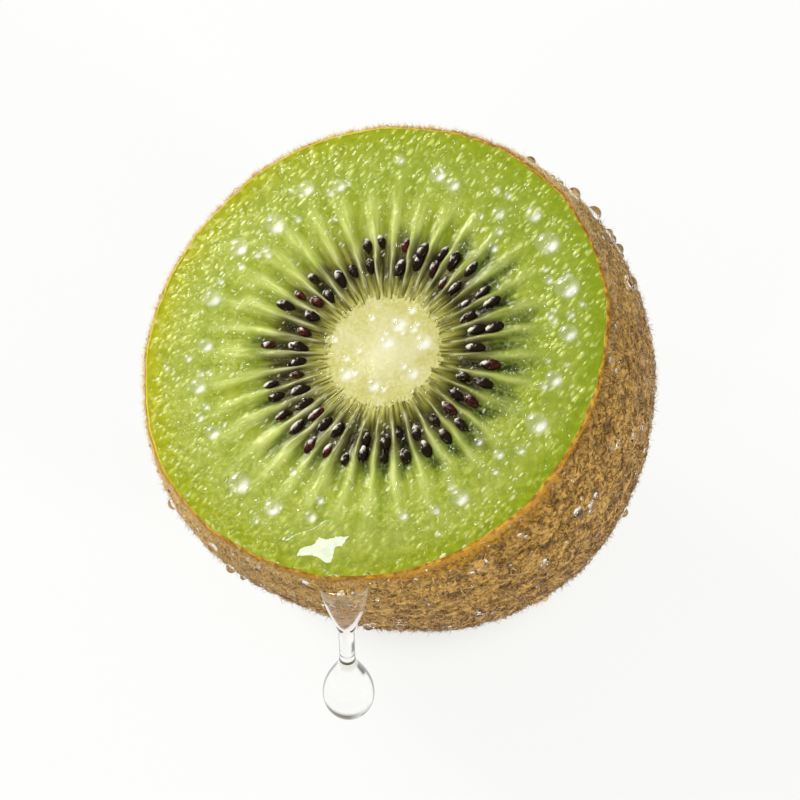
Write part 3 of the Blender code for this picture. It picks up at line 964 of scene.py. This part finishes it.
def millimetres(drawing):
    """Object coordinates turned to the fruit's own axes, in millimetres from the face's middle."""
    place = drawing.node("ShaderNodeTexCoord").outputs["Object"]
    axes = {"Location": FACE_MIDDLE, "Rotation": (0.0, -LEAN, 0.0), "Scale": (0.001, 0.001, 0.001)}
    return drawing.node("ShaderNodeMapping", {"Vector": place, **axes}, vector_type="TEXTURE").outputs[0]


def cut_fruit_group():
    """Colour, roughness and bump height of the cut face, from the core's middle to the rim."""
    group = bpy.data.node_groups.new("cut kiwifruit", "ShaderNodeTree")
    for title, kind in (("Colour", "Color"), ("Roughness", "Float"), ("Height", "Float")):
        group.interface.new_socket(title, in_out="OUTPUT", socket_type="NodeSocket" + kind)
    draw = Drawing(group)
    place = millimetres(draw)
    cos, sin, share = draw.split(draw.kept("ring_place", "Vector"))
    ray, gel = draw.kept("ray"), draw.kept("gel")

    def out_at(low, high, to_low=0.0, to_high=1.0):
        """A value that changes on the way from the core's middle, 0, to the rim, 1."""
        return draw.between(share, low, high, to_low, to_high)

    def streaks(count, length, detail, shift=0.0):
        """Noise that runs from the core to the rim, about so many streaks to a radian."""
        way = (draw.times(cos, count), draw.scaled(sin, count, shift))
        return draw.grain(draw.join(*way, draw.times(share, length)), 1.0, detail, 0.55)

    slant = {"Rotation": (0, 0, GLINT_SLANT), "Scale": GLINT_REACH}
    slanted = draw.node("ShaderNodeMapping", {"Vector": place, **slant}, vector_type="TEXTURE").outputs[0]

    def spots(scale, chance, swing, least):
        """Long slanting spots of random sizes, in that share of the cells, for painted glints."""
        distance, luck, width = draw.cells(slanted, scale)
        reach = draw.scaled(width, swing, least)
        spot = draw.between(distance, reach, draw.times(reach, 0.5))
        return draw.times(spot, draw.maths("LESS_THAN", luck, chance))

    bands, fibres, threads = streaks(7, 4, 2.0), streaks(24, 8, 3.0), streaks(44, 11, 2.0, 5.0)
    blotches = draw.grain(place, 3.2, 3.0, 0.55)
    granules = draw.grain(place, 0.85, 1.5, 0.5)
    specks = draw.grain(place, 0.4, 2.0, 0.5)
    outer = out_at(0.5, 0.75)
    shine, filmed = draw.kept("shine"), draw.kept("filmed")

    # From the core's middle outwards
    core = draw.shades(out_at(0.0, 0.2), (226, 221, 170), (200, 195, 110))
    core = draw.blend(draw.between(blotches, 0.35, 0.7, 0.0, 0.5), core, display(234, 230, 186))
    core = draw.blend(draw.between(specks, 0.4, 0.65, 0.0, 0.22), core, display(238, 234, 192))
    core_end = draw.scaled(fibres, 0.03, 0.14)
    core_end = draw.scaled(specks, 0.08, core_end)
    core_end = draw.scaled(bands, 0.08, core_end)
    core_edge = out_at(core_end, draw.maths("ADD", core_end, 0.022))
    fringe = draw.shades(draw.between(fibres, 0.35, 0.62), (96, 92, 14), (190, 186, 98))
    inner = draw.blend(core_edge, core, fringe)
    olive = draw.shades(draw.between(fibres, 0.3, 0.7), (62, 56, 8), (146, 142, 56))
    inner = draw.blend(out_at(0.255, 0.31), inner, olive)

    # The rays, dull between the seeds and green outside them
    ray_in = draw.shades(draw.between(threads, 0.35, 0.65), (150, 148, 76), (226, 224, 168))
    ray_out = draw.shades(draw.between(threads, 0.3, 0.7), (184, 198, 84), (218, 226, 138))
    pale_ray = draw.blend(out_at(0.38, 0.52), ray_in, ray_out)
    pale_ray = draw.blend(draw.between(cos, 0.1, 0.9, 0.0, 0.45), pale_ray, display(138, 148, 62))

    # The outer flesh and its rim, with small painted glints and a painted glow at the rim
    deep = draw.shades(draw.between(blotches, 0.35, 0.68), (124, 142, 8), (152, 165, 34))
    light = draw.shades(draw.between(bands, 0.35, 0.7), (170, 181, 58), (192, 199, 92))
    grainy = draw.times(draw.between(granules, 0.26, 0.74), outer)
    inner_grain = draw.times(draw.between(fibres, 0.38, 0.66), out_at(0.8, 0.55))
    pale = draw.times(draw.most(grainy, inner_grain), draw.between(specks, 0.25, 0.6, 0.35, 1.0))
    flesh = draw.blend(pale, deep, light)
    # The rim is painted yellower towards the left: a painted glow of light coming through it from that
    # side, over its own yellow-green.
    side = draw.times(draw.scaled(cos, -0.42, 0.5), draw.between(sin, -0.1, -0.6, 1.0, 0.55))
    rim_deep = draw.shades(side, (120, 142, 0), (172, 166, 0))
    rim_light = draw.shades(side, (160, 178, 10), (206, 198, 0))
    rim_green = draw.blend(pale, rim_deep, rim_light)
    belt = draw.times(out_at(0.72, 0.84), out_at(0.98, 0.88, 0.0, 0.2))
    flesh = draw.blend(belt, flesh, display(216, 216, 120))
    flesh = draw.blend(out_at(0.84, 0.99, 0.0, 0.9), flesh, rim_green)
    # Painted glints: pale slanting spots from the seed ring outwards, fewer on the film.
    painted_sparks = draw.times(spots(1.0, 0.55, 0.2, 0.1), out_at(0.42, 0.66))
    painted_sparks = draw.times(painted_sparks, draw.maths("SUBTRACT", 0.85, filmed))
    flesh = draw.blend(painted_sparks, flesh, display(238, 242, 184))

    flesh = draw.blend(out_at(0.68, 0.5, 0.0, 0.6), flesh, display(108, 124, 18))
    body = draw.blend(out_at(0.44, 0.56), inner, flesh)
    rays_fade = draw.times(out_at(0.9, 0.6), out_at(0.26, 0.33))
    body = draw.blend(draw.times(ray, rays_fade), body, pale_ray)

    # The dark gel round the seeds
    murk = draw.shades(draw.between(specks, 0.5, 0.8), (3, 2, 0), (52, 50, 20))
    murk_out = draw.maths("ADD", draw.times(specks, 0.6), draw.times(fibres, 0.4))
    murk_out = draw.shades(draw.between(murk_out, 0.42, 0.6), (20, 32, 4), (98, 118, 44))
    murk = draw.blend(out_at(0.45, 0.57), murk, murk_out)
    colour = draw.blend(draw.times(gel, 0.98), body, murk)

    # Pale wet grains at the upper right, then painted glints all over and the painted light under the
    # beads
    distance, _, width = draw.cells(slanted, 1.5)
    reach = draw.scaled(width, 0.45, 0.2)
    pebbles = draw.between(distance, reach, draw.times(reach, 0.4))
    pebbles = draw.times(pebbles, draw.between(granules, 0.3, 0.55))
    upper_right = draw.scaled(sin, 0.64, draw.times(cos, 0.77))
    upper_right = draw.between(upper_right, -0.1, 0.8, 0.5)
    upper_right = draw.times(upper_right, out_at(0.6, 0.78))
    ground = draw.shades(pebbles, (136, 158, 38), (224, 233, 126))
    colour = draw.blend(draw.times(upper_right, 0.56), colour, ground)
    # The colour of the painted glints, greyer near the seeds and brighter further out.
    painted_glint_colour = draw.shades(out_at(0.5, 0.65), (190, 190, 164), (228, 234, 176))
    in_ring = draw.times(out_at(0.24, 0.3), out_at(1.0, 0.94, 0.0, 0.9))
    in_ring = draw.times(in_ring, draw.maths("SUBTRACT", 1.0, filmed))
    wet = draw.times(spots(1.9, 0.3, 0.26, 0.13), in_ring)
    colour = draw.blend(wet, colour, painted_glint_colour)
    # Painted light under the beads: pale crescents, highlight spots and halos, nearly white.
    colour = draw.blend(draw.times(shine, 0.95), colour, display(250, 250, 240))

    # Bumps, which grow calm towards the rim
    grit = draw.times(granules, draw.scaled(outer, 1.2, 0.1))
    calm = out_at(1.0, 0.92, 0.3, 1.0)
    lines = draw.times(fibres, out_at(0.85, 0.5, 0.0, 1.2))
    lines = draw.times(lines, out_at(0.15, 0.3))
    bumps = draw.maths("ADD", grit, lines)
    bumps = draw.scaled(specks, 0.5, bumps)
    bumps = draw.scaled(draw.times(pebbles, upper_right), 0.7, bumps)
    roughness = draw.between(specks, 0.3, 0.75, 0.08, 0.2)
    made = {"Colour": colour, "Roughness": roughness, "Height": draw.times(bumps, calm)}
    draw.node("NodeGroupOutput", made)
    return group


def new_finish(name):
    finish = bpy.data.materials.new(name)
    finish.use_nodes = True
    drawing = Drawing(finish.node_tree)
    shader = finish.node_tree.nodes["Principled BSDF"]
    return finish, drawing, shader


def wet_fruit(name, group, glow):
    """Wet cut fruit: light sinks in a little, and the juice on it shines."""
    finish, draw, shader = new_finish(name)
    made = draw.node("ShaderNodeGroup", node_tree=group).outputs
    draw.fill(shader, {
        "Base Color": made["Colour"],
        "Roughness": made["Roughness"],
        "Normal": draw.bump(0.8, 0.00012, made["Height"]),
        "IOR": 1.3,
        "Specular Tint": (1.0, 1.0, 0.6),
        "Subsurface Weight": glow,
        "Subsurface Radius": (1.0, 0.9, 0.35),
        "Subsurface Scale": 0.0006,
    })
    return finish


def seed_finish():
    """Black seed coats, some with a reddish speckle, each with a painted highlight at one end."""
    finish, draw, shader = new_finish("seed coat")
    place = millimetres(draw)
    tint = draw.kept("tint")
    speckle = draw.grain(place, 0.5, 3.0)
    patchy = draw.times(draw.between(speckle, 0.4, 0.65), draw.between(tint, 0.6, 0.98))
    colour = draw.shades(patchy, (18, 8, 3), (96, 26, 18))
    # A painted highlight on the end of each seed that is nearest the key lamp.
    painted_highlight = draw.times(draw.kept("shine"), draw.between(draw.grain(place, 0.6), 0.42, 0.56))
    colour = draw.blend(painted_highlight, colour, display(230, 225, 212))
    draw.fill(shader, {
        "Base Color": colour,
        "Roughness": draw.times(speckle, 0.4),
        "Normal": draw.bump(0.7, 0.0002, draw.grain(place, 0.5)),
        "IOR": 1.33,
        "Specular Tint": (1.0, 0.72, 0.55),
    })
    return finish


def skin_finish():
    """Brown felted skin, orange where it is cut and olive and wet on the bare band, with painted light and
    shade: paler on the side towards the key lamp and on raised lumps, darker in the hollows.
    """
    finish, draw, shader = new_finish("brown skin")
    place = millimetres(draw)
    bare, below = draw.kept("bare"), draw.kept("below_rim")
    felt = draw.grain(place, 0.5, 4.0, 0.65, 0.6)
    lump = draw.kept("lump")
    brown = draw.shades(draw.between(felt, 0.35, 0.65), (106, 70, 8), (214, 166, 76))
    # Painted light on the raised lumps and painted shade in the hollows between them.
    brown = draw.blend(draw.between(lump, -0.02, 0.16, 0.0, 0.5), brown, display(222, 180, 96))
    brown = draw.blend(draw.between(lump, 0.0, -0.14, 0.0, 0.7), brown, display(62, 40, 4))
    olive = draw.shades(draw.between(felt, 0.35, 0.65), (108, 72, 0), (188, 136, 10))
    olive = draw.blend(draw.between(below, 1.2, 0.3, 0.0, 0.6), olive, display(216, 152, 6))
    # The side towards the key lamp is painted paler: painted light on the bare band and the cut edge.
    painted_lit_side = draw.node("ShaderNodeVectorMath", {0: place, 1: (-0.8, 0.6, 0.0)}, operation="DOT_PRODUCT")
    painted_lit_side = draw.between(painted_lit_side.outputs["Value"], 2, 18)
    olive = draw.blend(painted_lit_side, olive, display(244, 222, 120))
    colour = draw.blend(bare, brown, olive)
    cut = draw.between(below, 0.4, 0.05)
    patches = draw.grain(place, 0.9, 2.0, 0.6)
    cut_colour = draw.shades(draw.between(patches, 0.35, 0.65), (160, 100, 0), (228, 178, 48))
    cut_colour = draw.blend(painted_lit_side, cut_colour, display(232, 216, 20))
    colour = draw.blend(cut, colour, cut_colour)
    draw.fill(shader, {
        "Base Color": colour,
        "Roughness": draw.scaled(bare, -0.45, 0.6),
        "Normal": draw.bump(0.8, 0.0003, draw.maths("ADD", felt, patches)),
        "IOR": 1.38,
    })
    return finish


def fuzz_finish():
    """Hairs from brown to pale gold by their tint, which carries painted light and shade, paler at their
    ends and rosier far down.
    """
    finish, draw, shader = new_finish("golden fuzz")
    tint, tip = draw.kept("tint"), draw.kept("tip")
    root = draw.shades(tint, (100, 68, 16), (242, 200, 118))
    end = draw.shades(tint, (150, 108, 46), (250, 230, 172))
    hair = draw.blend(tip, root, end)
    rosy = draw.shades(tint, (112, 74, 40), (244, 206, 160))
    far_down = draw.between(draw.split(millimetres(draw))[2], -3.0, -12.0, 0.0, 0.5)
    colour, roughness = draw.blend(far_down, hair, rosy), draw.scaled(tint, 0.2, 0.24)
    draw.fill(shader, {"Base Color": colour, "Roughness": roughness, "IOR": 1.3})
    return finish


def water_finish(name, line_start, line_end, line, glint=WHITE):
    """Clear juice that lets lamps through, so that it throws no dark shadow; its edge has a painted line
    of shade, which darkens where the surface turns away from the eye.
    """
    finish, draw, shader = new_finish(name)
    draw.fill(shader, {"Specular Tint": glint})
    tone = draw.blend(draw.between(draw.slope(), line_start, line_end), CLEAR, line)
    clear_water(finish, draw, shader, tone)
    return finish


def drip_finish():
    """The drip's clear juice, with painted reflections and shade: brown skin at its foot, the flesh's
    yellow-green rim at its top, and dark lines on its edges.
    """
    finish, draw, shader = new_finish("hanging juice")
    side, front, depth = draw.split(draw.kept("way", "Vector"))
    slant = draw.kept("slant")
    # Painted reflections and shade: a brown crescent of skin at the foot, dark patches on one side, dark
    # lines where the drop turns from the camera, an olive band at the neck, a taupe funnel and a yellow
    # top.
    foot = draw.times(draw.between(front, 0.1, 0.6), draw.between(depth, 29.6, 30.8))
    foot = draw.times(foot, draw.between(side, 0.9, 0.0, 0.3, 1.0))
    dark = draw.between(draw.grain(millimetres(draw), 3.5, 1.0), 0.4, 0.55)
    dark = draw.times(dark, draw.between(side, 0.1, 0.6))
    line = draw.blend(dark, (0.004, 0.004, 0.0035), (0.0005, 0.0005, 0.0005))
    line = draw.blend(foot, line, (0.012, 0.0045, 0.0006))
    rim = draw.times(foot, draw.between(slant, 0.54, 0.44))
    rim = draw.most(rim, draw.times(dark, draw.between(slant, 0.36, 0.26)))
    rim = draw.most(rim, draw.between(slant, 0.22, 0.14))
    rim = draw.times(rim, draw.between(draw.slope(), 0.45, 0.58))
    tone = draw.blend(rim, CLEAR, line)
    collar = draw.times(draw.between(depth, 18.6, 19.4), draw.between(depth, 21.6, 20.4))
    tone = draw.blend(draw.times(collar, 0.8), tone, (0.66, 0.67, 0.5))
    inside = draw.times(draw.between(depth, 3.0, 4.0), draw.between(depth, 10.5, 9.5))
    tone = draw.blend(draw.times(inside, 0.5), tone, (0.84, 0.66, 0.54))
    tone = draw.blend(draw.between(depth, 4.5, 2.5, 0.0, 0.45), tone, (0.95, 0.9, 0.42))
    clear_water(finish, draw, shader, tone)
    return finish


def clear_water(finish, draw, shader, tone):
    """Makes the shader clear water of that tone, which lamps shine through without a shadow."""
    water = {"Base Color": tone, "Roughness": 0.0, "IOR": 1.333, "Transmission Weight": 1.0}
    draw.fill(shader, water)
    clear = draw.node("ShaderNodeBsdfTransparent").outputs[0]
    path = draw.node("ShaderNodeLightPath").outputs
    straight = draw.most(path["Is Shadow Ray"], path["Is Diffuse Ray"])
    mixed = draw.node("ShaderNodeMixShader", {0: straight, 1: shader.outputs[0], 2: clear})
    draw.fill(finish.node_tree.nodes["Material Output"], {"Surface": mixed.outputs[0]})


def floor_finish():
    """A white floor that glows, dimmer far away, with a painted shadow under the fruit where it glows
    less.
    """
    finish, draw, shader = new_finish("pale floor")
    place = draw.node("ShaderNodeTexCoord").outputs["Object"]
    away = draw.node("ShaderNodeVectorMath", {0: place}, operation="LENGTH").outputs["Value"]
    glow = draw.between(away, 0.07, 0.2, FLOOR_GLOW, FAR_GLOW)
    draw.fill(shader, {
        "Base Color": draw.shades(draw.grain(place, 0.08, 2.0), (96, 96, 95), (102, 102, 101)),
        "Roughness": 0.9,
        "Emission Color": (0.99, 1.0, 0.985),
        # A painted shadow: the floor glows less right under the fruit.
        "Emission Strength": draw.times(glow, draw.between(away, 0.006, 0.022, 0.25, 1.0)),
        "Specular IOR Level": 0.1,
    })
    return finish


# The studio


def make_camera():
    """The camera, which looks down on the fruit from the front."""
    right = Vector((1.0, 0.0, 0.0))
    up = Vector((0.0, math.sin(CAMERA_ELEVATION), math.cos(CAMERA_ELEVATION)))
    back = Vector((0.0, -math.cos(CAMERA_ELEVATION), math.sin(CAMERA_ELEVATION)))
    target = TO_WORLD.translation + right * LOOK_RIGHT + up * LOOK_UP
    data = bpy.data.cameras.new("camera")
    data.lens = CAMERA_LENS
    data.sensor_width = 36.0
    data.clip_start, data.clip_end = 0.01, 10.0
    camera = add_object("camera", data)
    camera.location = target + back * CAMERA_DISTANCE
    camera.rotation_euler = (math.pi / 2 - CAMERA_ELEVATION, 0.0, 0.0)
    bpy.context.scene.camera = camera


def add_lamp(name, direction, distance, size, power, colour):
    """A square lamp that looks at the middle of the face."""
    data = bpy.data.lights.new(name, "AREA")
    data.shape = "SQUARE"
    data.size = size
    data.energy = power
    data.color = colour
    lamp = add_object(name, data)
    towards = Vector(direction).normalized()
    lamp.location = FACE_MIDDLE + towards * distance
    lamp.rotation_mode = "QUATERNION"
    lamp.rotation_quaternion = towards.to_track_quat("Z", "Y")


def make_studio():
    """The floor, a sky that is brighter overhead, and the lamps."""
    bm = bmesh.new()
    bmesh.ops.create_grid(bm, x_segments=1, y_segments=1, size=FLOOR_SIDE / 2)
    mesh = mesh_of(bm)
    mesh.materials.append(floor_finish())
    floor = add_object("floor", mesh)
    world = bpy.data.worlds.new("studio")
    world.use_nodes = True
    sky = Drawing(world.node_tree)
    background = world.node_tree.nodes["Background"]
    height = sky.split(sky.node("ShaderNodeTexCoord").outputs["Generated"])[2]
    brightness = sky.between(height, 0.0, 0.75, SIDE_LIGHT, TOP_LIGHT)
    sky.fill(background, {"Strength": brightness, "Color": WHITE})
    bpy.context.scene.world = world
    for name, settings in LAMPS.items():
        add_lamp(name, *settings)
    bpy.context.scene.view_settings.view_transform = "Standard"


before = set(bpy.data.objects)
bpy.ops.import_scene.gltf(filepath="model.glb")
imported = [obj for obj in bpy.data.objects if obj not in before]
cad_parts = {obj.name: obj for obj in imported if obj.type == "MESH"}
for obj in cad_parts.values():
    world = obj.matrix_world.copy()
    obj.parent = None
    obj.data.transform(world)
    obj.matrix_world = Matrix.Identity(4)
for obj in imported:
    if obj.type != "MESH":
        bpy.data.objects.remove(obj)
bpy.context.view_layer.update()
cut_group = cut_fruit_group()
water = water_finish("clear juice", *PALE_LINE)
make_flesh(wet_fruit("green flesh", cut_group, FLESH_GLOW))
make_core(wet_fruit("pale core", cut_group, CORE_GLOW))
make_seeds(seed_finish())
make_skin(skin_finish())
fuzz = fuzz_finish()
for fuzz_name, fuzz_kind in FUZZ_KINDS.items():
    make_fuzz(fuzz_name, fuzz, *fuzz_kind)
make_face_beads(water)
make_fine_beads(water)
skin_water = water_finish("juice on the skin", *DARK_LINE)
make_skin_beads(skin_water)
make_dew(skin_water)
make_pool(water_finish("film of juice", *PALE_LINE, FILM_GLINT))
make_drip(drip_finish())
make_camera()
make_studio()
